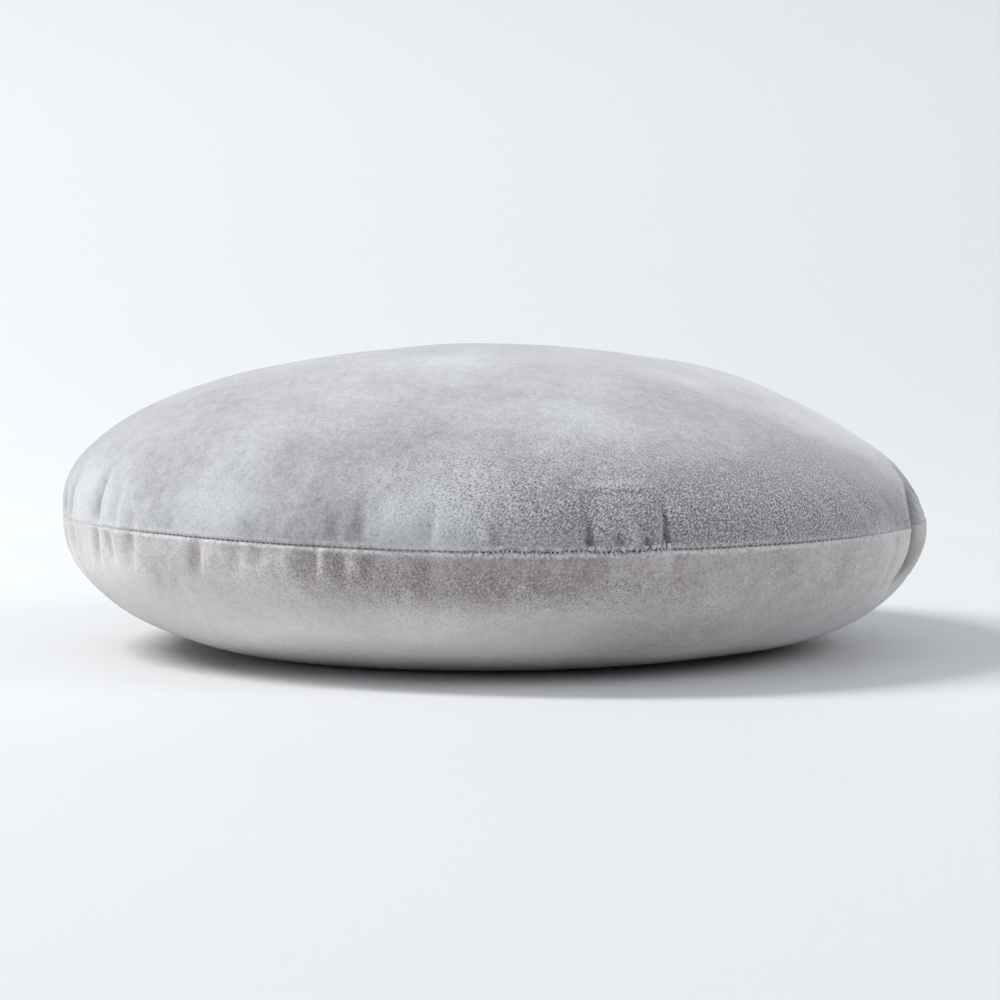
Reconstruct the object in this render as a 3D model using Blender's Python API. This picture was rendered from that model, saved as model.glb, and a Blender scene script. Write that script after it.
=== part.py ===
"""Round velvet cushion, lying on its back.

Two equal round panels are sewn together round the rim and filled, which makes one solid:
a full crown above the seam, a flatter belly below it, and a flat foot where it lies.
Metres, +Z up. The origin is on the surface under the cushion's middle, and the closing
of the seam faces -Y.
"""

import math
from collections import namedtuple

import bmesh
import bpy
import numpy as np
from mathutils import Vector

# Driving sizes
TOTAL_HEIGHT = 0.1388
CROWN_FULLNESS = 1.94  # exponent of the crown's curve, 2 for an ellipse
PRESSED_DEPTH = 0.004  # how far the filling under the foot is pressed flat
FOOT_ROUNDING = 0.004  # height over which the belly turns in to the flat foot

# The sewn seam
SEAM_DEPTH = 0.0014
SEAM_WIDTH = 0.0036

# Mesh: spokes round the middle, closest together at the front, and bands from the seam to each
# middle, closest together at the seam
SPOKES = 212
SPOKE_CROWDING = 0.38  # 0 spaces them evenly
FRONT_DEG = 270.0
BANDS = 14
BAND_CROWDING = 1.75
MERIDIAN_STEPS = 400
STEP_CROWDING = 1.5
ON_THE_SEAM = 0.001  # latitude, in radians

# The form at eight directions round the rim, counterclockwise from +X. Crown edge and belly
# fullness are exponents: a high one is blunt and full, a low one runs out to a thin edge.
Section = namedtuple("Section", "direction_deg rim_radius seam_height crown_edge belly_fullness")
SECTIONS = (
    Section(0, 0.1988, 0.0640, 1.62, 3.9),
    Section(45, 0.1999, 0.0625, 2.30, 3.0),
    Section(90, 0.2000, 0.0630, 2.00, 3.2),
    Section(135, 0.1999, 0.0643, 1.85, 3.4),
    Section(180, 0.2002, 0.0654, 2.25, 3.1),
    Section(225, 0.2002, 0.0654, 2.50, 3.6),
    Section(270, 0.2003, 0.0626, 2.00, 3.4),
    Section(315, 0.2007, 0.0629, 1.60, 3.1),
)

# The folds that the seam draws in. Each crosses the seam at its direction, reaches so far up
# and down, and leans by so many degrees over a centimetre as it leaves the seam.
HELD_AT_SEAM = 0.45  # the share of its depth that a fold has where the stitches hold it
SIDES_OF_FOLD = 3  # past this many half widths a fold no longer shows
Fold = namedtuple("Fold", "direction_deg above below depth width lean_above lean_below")
FOLDS = (
    Fold(199.5, 0.024, 0.010, 0.0014, 0.008, 1.0, 0.0),
    Fold(210.3, 0.036, 0.022, 0.0028, 0.010, 0.6, -1.2),
    Fold(215.0, 0.030, 0.008, 0.0016, 0.007, 0.0, 0.0),
    Fold(219.0, 0.018, 0.022, 0.0016, 0.009, 0.4, -0.6),
    Fold(232.3, 0.010, 0.022, 0.0015, 0.009, 0.0, -0.3),
    Fold(237.8, 0.000, 0.016, 0.0011, 0.008, 0.0, 0.0),
    Fold(243.4, 0.012, 0.020, 0.0012, 0.010, 0.0, 0.0),
    Fold(248.7, 0.000, 0.024, 0.0014, 0.008, 0.0, 0.0),
    Fold(253.8, 0.034, 0.018, 0.0015, 0.010, 0.2, 0.0),
    Fold(263.0, 0.032, 0.014, 0.0014, 0.009, 0.3, 0.0),
    Fold(281.3, 0.034, 0.014, 0.0024, 0.009, 0.2, 0.0),
    Fold(287.6, 0.014, 0.010, 0.0012, 0.007, 0.0, 0.0),
    Fold(290.8, 0.040, 0.016, 0.0030, 0.009, 0.7, 0.0),
    Fold(298.0, 0.024, 0.018, 0.0010, 0.011, 0.3, 0.0),
    Fold(307.0, 0.026, 0.014, 0.0010, 0.011, 0.3, 0.0),
    Fold(316.5, 0.024, 0.020, 0.0011, 0.012, 0.0, 0.0),
    Fold(341.0, 0.050, 0.052, 0.0070, 0.019, 1.3, 0.3),
    Fold(348.5, 0.012, 0.042, 0.0026, 0.014, 0.0, 0.5),
)

# Away from the folds above, the back of the rim is drawn in evenly enough for a loop
BACK_FROM_DEG = 6.0
BACK_TO_DEG = 192.0
BACK_FOLDS = 19
BACK_DEPTHS = (0.0010, 0.0024)
BACK_REACHES = (0.016, 0.038)
BACK_WIDTH = 0.017
BACK_SEED = 7

# At the seam a fold draws its cloth straight in, and from this far away square to the cloth
SQUARE_FROM = 0.030

VELVET_GREY = (0.40, 0.39, 0.41, 1.0)


def clear_scene():
    for old in list(bpy.data.objects):
        bpy.data.objects.remove(old)


def around(column, direction_deg):
    """The value of a column of SECTIONS at a direction, on a smooth closed curve."""
    values = [getattr(section, column) for section in SECTIONS]
    place = direction_deg / 360 * len(values)
    first = math.floor(place)
    part = place - first
    before, here, after, beyond = (values[(first + step) % len(values)] for step in (-1, 0, 1, 2))
    return 0.5 * (
        2 * here
        + (after - before) * part
        + (2 * before - 5 * here + 4 * after - beyond) * part**2
        + (3 * here - before - 3 * after + beyond) * part**3
    )


def lie_on_surface(height):
    """Presses flat what would be under the surface, and rounds the way in to the flat foot."""
    above = np.clip(height, 0, None)
    return above**2 / (above + FOOT_ROUNDING)


def meridian(direction_deg, side):
    """Radius and height of the smooth form from the seam to the middle, and its running length.

    Side is 1 for the crown and -1 for the belly.
    """
    rim = around("rim_radius", direction_deg)
    seam = around("seam_height", direction_deg)
    turn = np.linspace(0, 1, MERIDIAN_STEPS) ** STEP_CROWDING * math.pi / 2
    inward = np.clip(np.cos(turn), 0, 1)
    outward = np.sin(turn)
    if side > 0:
        radius = rim * inward ** (2 / CROWN_FULLNESS)
        rise = outward ** (2 / around("crown_edge", direction_deg))
        pressed_seam = float(lie_on_surface(seam))
        height = pressed_seam + (TOTAL_HEIGHT - pressed_seam) * rise
    else:
        radius = rim * inward ** (2 / around("belly_fullness", direction_deg))
        height = lie_on_surface(seam - (seam + PRESSED_DEPTH) * outward)
    steps = np.hypot(np.diff(radius), np.diff(height))
    length = np.concatenate([[0], np.cumsum(steps)])
    return radius, height, length


def back_folds():
    """Folds round the part of the rim that the table leaves out, uneven but the same each run."""
    draw = np.random.default_rng(BACK_SEED)
    step = (BACK_TO_DEG - BACK_FROM_DEG) / BACK_FOLDS
    folds = []
    for number in range(BACK_FOLDS):
        folds.append(
            Fold(
                direction_deg=BACK_FROM_DEG + step * (number + draw.uniform(0.2, 0.8)),
                above=draw.uniform(*BACK_REACHES),
                below=draw.uniform(*BACK_REACHES),
                depth=draw.uniform(*BACK_DEPTHS),
                width=BACK_WIDTH,
                lean_above=draw.uniform(-0.8, 0.8),
                lean_below=draw.uniform(-0.8, 0.8),
            )
        )
    return folds


def fold_depth(fold, direction_deg, side, from_seam, rim):
    """How far one fold draws the cloth in, at a running length from the seam."""
    reach = fold.above if side > 0 else fold.below
    if from_seam >= reach:
        return 0.0
    lean = fold.lean_above if side > 0 else fold.lean_below
    crease = fold.direction_deg + lean * from_seam / 0.01
    turned = (direction_deg - crease + 180) % 360 - 180
    off = math.radians(turned) * rim / (fold.width / 2)
    if abs(off) > SIDES_OF_FOLD:
        return 0.0
    held = HELD_AT_SEAM + (1 - HELD_AT_SEAM) * min(from_seam / SEAM_WIDTH, 1)
    fading = (1 - (from_seam / reach) ** 2) ** 2
    return fold.depth * held * fading * math.exp(-off * off)


def drawn_in(folds, direction_deg, side, from_seam):
    """How far the seam and all the folds draw the cloth in."""
    rim = around("rim_radius", direction_deg)
    groove = SEAM_DEPTH * math.exp(-((from_seam / (SEAM_WIDTH / 2)) ** 2))
    return groove + sum(fold_depth(f, direction_deg, side, from_seam, rim) for f in folds)


def crowded_direction(even_deg):
    """Turns evenly spaced directions into ones that stand closer together at the front."""
    from_front = math.radians(even_deg - FRONT_DEG)
    moved = even_deg - math.degrees(SPOKE_CROWDING * math.sin(from_front))
    return round(moved, 3) % 360


def shape_cushion(bm):
    """Moves the points of a plain ball onto the cushion: first the smooth form, then its folds.

    The ball's latitude tells how far a point is from the seam, and its longitude tells where
    round the rim it is.
    """
    folds = list(FOLDS) + back_folds()
    meridians = {}
    draws = {}
    for vert in bm.verts:
        place = Vector((vert.co.x, vert.co.y))
        latitude = math.atan2(vert.co.z, place.length)
        side = 1 if latitude > -ON_THE_SEAM else -1
        direction_deg = crowded_direction(math.degrees(math.atan2(place.y, place.x)))
        if (direction_deg, side) not in meridians:
            meridians[direction_deg, side] = meridian(direction_deg, side)
        radius, height, length = meridians[direction_deg, side]
        from_seam = length[-1] * abs(latitude / (math.pi / 2)) ** BAND_CROWDING
        angle = math.radians(direction_deg)
        outward = Vector((math.cos(angle), math.sin(angle), 0))
        vert.co = outward * float(np.interp(from_seam, length, radius))
        vert.co.z = float(np.interp(from_seam, length, height))
        draws[vert] = (outward, from_seam, drawn_in(folds, direction_deg, side, from_seam))
    bm.normal_update()
    for vert, (outward, from_seam, depth) in draws.items():
        away = outward.lerp(vert.normal, min(from_seam / SQUARE_FROM, 1)).normalized()
        vert.co -= away * depth
        vert.co.z = max(vert.co.z, 0.0)


def centre_over_origin(bm):
    """Sets the middle of the solid's box over the origin, because its folds aren't even."""
    for axis in (0, 1):
        places = [vert.co[axis] for vert in bm.verts]
        middle = (min(places) + max(places)) / 2
        for vert in bm.verts:
            vert.co[axis] -= middle


def velvet():
    material = bpy.data.materials.new("silver_grey_velvet")
    material.use_nodes = True
    shader = material.node_tree.nodes["Principled BSDF"]
    shader.inputs["Base Color"].default_value = VELVET_GREY
    shader.inputs["Roughness"].default_value = 0.95
    shader.inputs["Metallic"].default_value = 0.0
    shader.inputs["Sheen Weight"].default_value = 0.6
    material.diffuse_color = VELVET_GREY
    return material


def make_cushion(collection):
    bm = bmesh.new()
    bmesh.ops.create_uvsphere(bm, u_segments=SPOKES, v_segments=2 * BANDS, radius=1.0)
    shape_cushion(bm)
    centre_over_origin(bm)
    bmesh.ops.recalc_face_normals(bm, faces=bm.faces)
    mesh = bpy.data.meshes.new("cushion")
    bm.to_mesh(mesh)
    bm.free()
    mesh.shade_smooth()
    mesh.materials.append(velvet())
    cushion = bpy.data.objects.new("cushion", mesh)
    collection.objects.link(cushion)


def main():
    clear_scene()
    collection = bpy.data.collections.new("round_cushion")
    bpy.context.scene.collection.children.link(collection)
    make_cushion(collection)


main()
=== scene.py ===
# Round velvet cushion on a pale table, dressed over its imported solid.
# The front of the cushion, with the hand-closed stretch of its seam, faces -Y.
import math
from collections import namedtuple

import bpy
import numpy as np
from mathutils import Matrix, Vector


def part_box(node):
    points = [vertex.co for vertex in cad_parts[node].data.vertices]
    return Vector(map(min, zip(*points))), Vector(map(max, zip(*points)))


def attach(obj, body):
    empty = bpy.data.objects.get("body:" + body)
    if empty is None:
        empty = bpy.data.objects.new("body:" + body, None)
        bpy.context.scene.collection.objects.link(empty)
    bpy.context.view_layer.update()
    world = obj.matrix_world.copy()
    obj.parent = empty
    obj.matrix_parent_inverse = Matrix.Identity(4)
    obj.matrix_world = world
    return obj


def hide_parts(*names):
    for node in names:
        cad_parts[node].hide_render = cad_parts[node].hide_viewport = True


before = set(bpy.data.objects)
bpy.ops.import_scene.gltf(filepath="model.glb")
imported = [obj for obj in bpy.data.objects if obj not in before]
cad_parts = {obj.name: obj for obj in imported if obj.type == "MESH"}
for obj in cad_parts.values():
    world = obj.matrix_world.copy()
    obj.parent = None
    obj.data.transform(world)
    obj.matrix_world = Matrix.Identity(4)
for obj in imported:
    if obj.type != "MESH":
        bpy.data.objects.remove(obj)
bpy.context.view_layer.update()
print("frame loaded")


def addObject(name, data):
    made = bpy.data.objects.new(name, data)
    bpy.context.scene.collection.objects.link(made)
    return made


# cushion form

cushion = {
    "height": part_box("cushion")[1].z,
    "crownFullness": 1.94,  # exponent of the crown's curve, 2 for an ellipse
    "pressedDepth": 0.004,  # filling pressed flat under the foot
    "footRounding": 0.004,
    "meridianSteps": 600,
    "stepCrowding": 1.5,
    "spokes": 900,
    "frontCrowding": 0.55,  # spokes stand closer together towards the front and at the pinch
    "pinchCrowding": 2.2,
    "pinchSpread": 7,
    "front": 270,
    "rings": 55,  # from the seam to each middle
    "ringGrowth": 1.062,  # each ring is this much further from the last
    "seamDepth": 0.0010,
    "seamWidth": 0.0006,
    "stitches": 483,  # pulls of the machine's stitches round the seam
    "lipHeight": 0.0004,  # the lower panel stands out a little just under the seam
    "lipAt": -0.0013,
    "lipWidth": 0.0009,
    "slackAt": (201, 333),  # where the seam is slack, so its line and lips are faint
    "slackWidth": 17,
    "slackShare": 0.30,
    "upperLipHeight": 0.0002,
    "puckerStrength": 1.45,
    "heldAtSeam": 0.35,  # share of its depth that a pucker has at the seam
    "dipDepth": 0.0007,  # wide shallow dip that the tight seam pulls beside it
    "dipWidth": 0.0075,
    "lumpDepth": 0.0009,  # soft lumps of the filling
    "lumpWaves": 26,
    "lumpLengths": (0.035, 0.100),
    "seamBlend": 0.0017,  # the folds above and below meet over this height at the seam
    "squareFrom": 0.030,  # the relief is level at the seam, and from here on square to the cloth
    "seed": 11,
}

# direction in degrees from +X, rim radius, seam height, and the exponents of the crown's edge
# and of the belly: high is blunt and full, low is thin
Section = namedtuple("Section", "direction rimRadius seamHeight crownEdge bellyFullness")
sections = [
    Section(0, 0.1988, 0.0640, 1.62, 3.9),
    Section(45, 0.1999, 0.0625, 2.30, 3.0),
    Section(90, 0.2000, 0.0630, 2.00, 3.2),
    Section(135, 0.1999, 0.0643, 1.85, 3.4),
    Section(180, 0.2002, 0.0654, 2.25, 3.1),
    Section(225, 0.2002, 0.0654, 2.50, 3.6),
    Section(270, 0.2003, 0.0626, 2.00, 3.4),
    Section(315, 0.2007, 0.0629, 1.60, 3.1),
]

# Puckers that the seam draws in, and ridges between them where the depth is below zero. Each
# leaves the seam at its direction, is deepest at its peak, ends at its reach and leans by so
# many degrees over a centimetre. Its far side, counterclockwise, has its own width.
Pucker = namedtuple("Pucker", "direction peak reach depth width farWidth lean")
puckersAbove = [
    Pucker(197.6, 0.008, 0.030, 0.0013, 0.0040, 0.0030, 0.6),
    Pucker(203.5, 0.004, 0.022, -0.0004, 0.0060, 0.0060, 0.4),
    Pucker(209.0, 0.006, 0.034, 0.0024, 0.0054, 0.0020, 0.6),
    Pucker(214.3, 0.009, 0.032, 0.0010, 0.0046, 0.0026, 0.5),
    Pucker(218.9, 0.003, 0.013, 0.0005, 0.0042, 0.0045, 0.0),
    Pucker(226.5, 0.003, 0.014, 0.0004, 0.0050, 0.0040, 0.0),
    Pucker(240.0, 0.004, 0.014, 0.0006, 0.0050, 0.0040, 0.0),
    Pucker(250.6, 0.005, 0.017, 0.0007, 0.0036, 0.0030, 0.2),
    Pucker(253.5, 0.006, 0.030, 0.0011, 0.0046, 0.0030, 0.2),
    Pucker(257.6, 0.008, 0.026, -0.0005, 0.0055, 0.0055, 0.3),
    Pucker(262.0, 0.007, 0.026, 0.0010, 0.0050, 0.0022, 0.4),
    Pucker(268.6, 0.005, 0.015, -0.0007, 0.0024, 0.0024, 0.2),
    Pucker(269.6, 0.005, 0.017, 0.0009, 0.0022, 0.0036, 0.2),
    Pucker(281.3, 0.003, 0.027, 0.0024, 0.0030, 0.0018, -0.05),
    Pucker(282.8, 0.004, 0.012, -0.0006, 0.0028, 0.0028, 0.0),
    Pucker(284.6, 0.002, 0.011, 0.0014, 0.0016, 0.0014, 0.0),
    Pucker(286.2, 0.003, 0.017, -0.0012, 0.0022, 0.0026, 0.2),
    Pucker(288.0, 0.002, 0.010, 0.0018, 0.0016, 0.0014, 0.4),
    Pucker(289.3, 0.006, 0.020, -0.0006, 0.0026, 0.0026, 0.2),
    Pucker(290.6, 0.002, 0.032, 0.0025, 0.0024, 0.0015, 0.2),
    Pucker(295.0, 0.006, 0.020, 0.0006, 0.0040, 0.0040, 0.2),
    Pucker(297.4, 0.005, 0.022, 0.0006, 0.0034, 0.0034, 0.2),
    Pucker(301.2, 0.005, 0.018, 0.0006, 0.0036, 0.0036, 0.2),
    Pucker(306.2, 0.007, 0.026, 0.0009, 0.0044, 0.0040, 0.3),
    Pucker(312.2, 0.007, 0.024, 0.0007, 0.0044, 0.0044, 0.2),
    Pucker(317.2, 0.008, 0.026, 0.0007, 0.0050, 0.0050, 0.0),
    Pucker(325.0, 0.009, 0.028, 0.0005, 0.0060, 0.0060, 0.0),
]
puckersBelow = [
    Pucker(199.5, 0.006, 0.018, 0.0005, 0.0050, 0.0040, 0.0),
    Pucker(209.1, 0.006, 0.020, 0.0016, 0.0036, 0.0018, -0.2),
    Pucker(212.2, 0.006, 0.020, 0.0013, 0.0026, 0.0022, 0.6),
    Pucker(218.0, 0.005, 0.022, 0.0014, 0.0052, 0.0044, -0.4),
    Pucker(223.4, 0.024, 0.036, 0.0005, 0.0070, 0.0070, 0.0),
    Pucker(231.2, 0.007, 0.021, 0.0013, 0.0046, 0.0024, -0.2),
    Pucker(233.0, 0.006, 0.018, -0.0005, 0.0028, 0.0030, 0.2),
    Pucker(237.0, 0.006, 0.018, 0.0010, 0.0048, 0.0040, 0.0),
    Pucker(240.4, 0.005, 0.014, 0.0007, 0.0040, 0.0036, 0.0),
    Pucker(244.3, 0.006, 0.018, -0.0005, 0.0030, 0.0030, 0.0),
    Pucker(246.4, 0.007, 0.024, 0.0009, 0.0046, 0.0040, 0.2),
    Pucker(248.0, 0.006, 0.018, 0.0009, 0.0030, 0.0020, 0.0),
    Pucker(249.4, 0.006, 0.018, -0.0006, 0.0026, 0.0026, 0.0),
    Pucker(251.2, 0.007, 0.020, 0.0012, 0.0040, 0.0028, 0.0),
    Pucker(253.2, 0.006, 0.018, -0.0005, 0.0028, 0.0028, 0.0),
    Pucker(254.7, 0.006, 0.018, 0.0006, 0.0030, 0.0030, 0.0),
    Pucker(262.0, 0.007, 0.026, 0.0012, 0.0058, 0.0022, -0.3),
    Pucker(263.8, 0.006, 0.020, -0.0006, 0.0026, 0.0036, 0.0),
    Pucker(272.9, 0.003, 0.012, 0.0006, 0.0024, 0.0024, 0.0),
    Pucker(275.2, 0.004, 0.016, 0.0007, 0.0036, 0.0030, 0.0),
    Pucker(280.8, 0.007, 0.018, 0.0007, 0.0044, 0.0044, 0.0),
    Pucker(282.6, 0.004, 0.010, 0.0005, 0.0028, 0.0028, 0.0),
    Pucker(290.0, 0.004, 0.016, -0.0005, 0.0040, 0.0040, 0.0),
    Pucker(291.6, 0.006, 0.019, 0.0009, 0.0032, 0.0040, 0.0),
    Pucker(298.5, 0.006, 0.020, 0.0005, 0.0050, 0.0050, 0.0),
    Pucker(306.0, 0.008, 0.024, 0.0005, 0.0060, 0.0060, 0.0),
    Pucker(318.0, 0.010, 0.030, 0.0006, 0.0070, 0.0070, 0.0),
]


def around(column, direction):
    # value of a column of the sections at any directions, on a smooth closed curve
    values = np.array([getattr(section, column) for section in sections])
    place = np.asarray(direction) / 360 * len(values)
    first = np.floor(place).astype(int)
    part = place - first
    before, here, after, beyond = (values[(first + step) % len(values)] for step in (-1, 0, 1, 2))
    return 0.5 * (
        2 * here
        + (after - before) * part
        + (2 * before - 5 * here + 4 * after - beyond) * part**2
        + (3 * here - before - 3 * after + beyond) * part**3
    )


def lieOnTable(height):
    above = np.clip(height, 0, None)
    return above**2 / (above + cushion["footRounding"])


def meridian(direction, side):
    # smooth outline from the seam to the middle, side 1 up the crown and -1 down the belly
    turn = np.linspace(0, 1, cushion["meridianSteps"]) ** cushion["stepCrowding"] * math.pi / 2
    inward = np.clip(np.cos(turn), 0, 1)
    outward = np.sin(turn)
    rim = around("rimRadius", direction)
    seam = around("seamHeight", direction)
    if side > 0:
        radius = rim * inward ** (2 / cushion["crownFullness"])
        seamPressed = lieOnTable(seam)
        rise = outward ** (2 / around("crownEdge", direction))
        height = seamPressed + (cushion["height"] - seamPressed) * rise
    else:
        radius = rim * inward ** (2 / around("bellyFullness", direction))
        height = lieOnTable(seam - (seam + cushion["pressedDepth"]) * outward)
    run = np.concatenate([[0], np.cumsum(np.hypot(np.diff(radius), np.diff(height)))])
    return radius, height, run


def evenDirections(count):
    return np.arange(count) * 360 / count


def crowdedDirections(count):
    # more spokes where the most detail is
    fine = np.linspace(0, 360, 7201)
    density = 1 + cushion["frontCrowding"] * np.cos(np.radians(fine - cushion["front"]))
    density += cushion["pinchCrowding"] * bell(turned(fine, pinch["direction"]), cushion["pinchSpread"])
    share = np.concatenate([[0], np.cumsum((density[1:] + density[:-1]) / 2)])
    return np.interp(np.arange(count) / count * share[-1], share, fine)


def ringShares(rings, growth):
    return (growth ** np.arange(rings + 1) - 1) / (growth**rings - 1)


def smoothForm(directions, shares):
    # rows run from the crown's middle down over the seam to the foot's middle, columns go round
    rows = len(shares)
    points = np.zeros((2 * rows - 1, len(directions), 3))
    fromSeam = np.zeros(points.shape[:2])
    for column, direction in enumerate(directions):
        for side in (1, -1):
            radius, height, run = meridian(direction, side)
            along = shares * run[-1]
            places = rows - 1 - side * np.arange(rows)
            points[places, column, 0] = np.interp(along, run, radius) * math.cos(math.radians(direction))
            points[places, column, 1] = np.interp(along, run, radius) * math.sin(math.radians(direction))
            points[places, column, 2] = np.interp(along, run, height)
            fromSeam[places, column] = side * along
    points[0, :, :2] = 0
    points[-1, :, :2] = 0
    return points, fromSeam


def facing(points):
    # outward direction at each point of the grid
    alongRow = np.roll(points, -1, 1) - np.roll(points, 1, 1)
    downColumn = np.gradient(points, axis=0)
    outward = np.cross(downColumn, alongRow)
    outward /= np.maximum(np.linalg.norm(outward, axis=2, keepdims=True), 1e-12)
    outward[0] = (0, 0, 1)
    outward[-1] = (0, 0, -1)
    return outward


def turned(directions, direction):
    return (directions - direction + 180) % 360 - 180


def bell(value, width):
    # 1 in the middle, next to nothing two widths away
    return np.exp(-((value / width) ** 2))


def puckerDepth(puckers, directions, along, rim):
    depth = np.zeros_like(along)
    held = cushion["heldAtSeam"]
    for p in puckers:
        crease = p.direction + p.lean * along / 0.01
        off = np.radians(turned(directions, crease)) * rim
        width = np.where(off > 0, p.farWidth, p.width)
        rising = held + (1 - held) * np.clip(along / p.peak, 0, 1)
        fading = np.clip(1 - np.clip((along - p.peak) / (p.reach - p.peak), 0, 1) ** 2, 0, 1) ** 2
        depth += p.depth * rising * fading * bell(off, width)
    return depth


# the deep pinch at the right end, where a tuck of cloth was caught in the seam
pinch = {
    "direction": 337.4,
    "depth": 0.0100,
    "nearWidth": 0.0024,
    "softensOver": 0.022,
    "farWidth": 0.0090,
    "farWidthBelow": 0.0050,
    "reachAbove": 0.023,
    "reachBelow": 0.034,
    "leanAbove": -0.6,  # degrees over a centimetre
    "leanBelow": 0.2,
    "bendAbove": 3.2,  # degrees over a centimetre squared
    "bendTo": 0.02,
    "nearRoll": 0.0014,  # the cloth puffs up beside the crease, towards the front
    "rollOffset": 0.0065,
    "rollWidth": 0.0045,
    "shadeNear": 0.0016,
    "shadeFar": 0.0120,
}
pinchAbove = [
    Pucker(349.5, 0.002, 0.014, 0.0008, 0.0040, 0.0060, 0.8),
    Pucker(352.5, 0.011, 0.034, 0.0042, 0.0120, 0.0240, 0.4),
]
pinchBelow = [
    Pucker(331.8, 0.014, 0.034, 0.0013, 0.0045, 0.0024, 0.0),
    Pucker(343.4, 0.007, 0.034, -0.0028, 0.0032, 0.0036, -1.9),
    Pucker(350.0, 0.010, 0.038, 0.0028, 0.0050, 0.0080, -3.0),
]


def pinchDepth(directions, along, rim, side):
    # how deep the pinch draws the cloth in, and the painted shade in there
    lean = pinch["leanAbove"] if side > 0 else pinch["leanBelow"]
    reach = pinch["reachAbove"] if side > 0 else pinch["reachBelow"]
    crease = pinch["direction"] + lean * along / 0.01
    crease = crease + (side > 0) * pinch["bendAbove"] * np.clip(along, 0, pinch["bendTo"]) ** 2 / 0.0001
    off = np.radians(turned(directions, crease)) * rim
    farWidth = pinch["farWidth"] if side > 0 else pinch["farWidthBelow"]
    nearWidth = pinch["nearWidth"] * (1 + (along / pinch["softensOver"]) ** 2)
    width = np.where(off > 0, farWidth, nearWidth)
    fading = np.clip(1 - (along / reach) ** 2, 0, 1) ** 1.5
    valley = pinch["depth"] * fading * np.exp(-(np.abs(off / width) ** 1.5))
    roll = pinch["nearRoll"] * fading * bell(off + pinch["rollOffset"], pinch["rollWidth"])
    shadeWidth = np.where(off > 0, pinch["shadeFar"], pinch["shadeNear"])
    shade = np.clip(1 - (along / reach) ** 2, 0, 1) * bell(off, shadeWidth)
    return valley - roll, shade


# what presses through from inside at the closing: a square outline above the seam, and the
# edge of the seam allowance below it
imprint = {
    "left": 281.1,
    "right": 288.9,
    "top": 0.0292,
    "height": 0.00045,
    "edge": 0.0009,
    "startsAt": 0.004,  # from the seam, as the allowance's
    "startEdge": 0.003,
    "rimHeight": 0.00095,  # its folded top edge
    "rimWidth": 0.0011,
    "rimGap": 0.0026,  # from the raised top edge down to the dip under it
    "sideShade": 0.35,
    "allowanceFrom": 268.0,
    "allowanceTo": 291.0,
    "allowance": 0.0200,
    "allowanceStartsAt": 0.005,
    "allowanceHeight": 0.00060,
    "allowanceEdge": 0.0016,
    "allowanceEnds": 0.010,
    "sag": 0.0012,
    "sagLength": 0.014,
}


def softStep(value, edge):
    return 1 / (1 + np.exp(-np.clip(value / edge * 2.5, -40, 40)))


def imprintHeight(directions, fromSeam, rim):
    # how far it presses the cloth out, and the painted highlight and shade along its edges
    pastLeft = np.radians(turned(directions, imprint["left"])) * rim
    beforeRight = -np.radians(turned(directions, imprint["right"])) * rim
    across = softStep(pastLeft, imprint["edge"]) * softStep(beforeRight, imprint["edge"])
    above = softStep(imprint["top"] - fromSeam, imprint["edge"])
    above *= softStep(fromSeam - imprint["startsAt"], imprint["startEdge"])
    rimLine = bell(fromSeam - imprint["top"], imprint["rimWidth"])
    rimLine -= bell(fromSeam - imprint["top"] + imprint["rimGap"], imprint["rimWidth"])
    height = across * (imprint["height"] * above + imprint["rimHeight"] * rimLine)
    sides = bell(pastLeft, imprint["edge"]) + bell(beforeRight, imprint["edge"])
    # painted highlight on its raised top edge, painted shade under it and along its sides
    edgeLightAndShade = across * rimLine - imprint["sideShade"] * above * sides
    pastLeft = np.radians(turned(directions, imprint["allowanceFrom"])) * rim
    beforeRight = -np.radians(turned(directions, imprint["allowanceTo"])) * rim
    across = softStep(pastLeft, imprint["allowanceEnds"]) * softStep(beforeRight, imprint["allowanceEnds"])
    sagging = imprint["allowance"] + imprint["sag"] * np.sin(pastLeft / imprint["sagLength"])
    below = softStep(sagging + fromSeam, imprint["allowanceEdge"])
    below *= softStep(-fromSeam - imprint["allowanceStartsAt"], imprint["startEdge"])
    return height + across * below * imprint["allowanceHeight"], edgeLightAndShade
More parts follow.
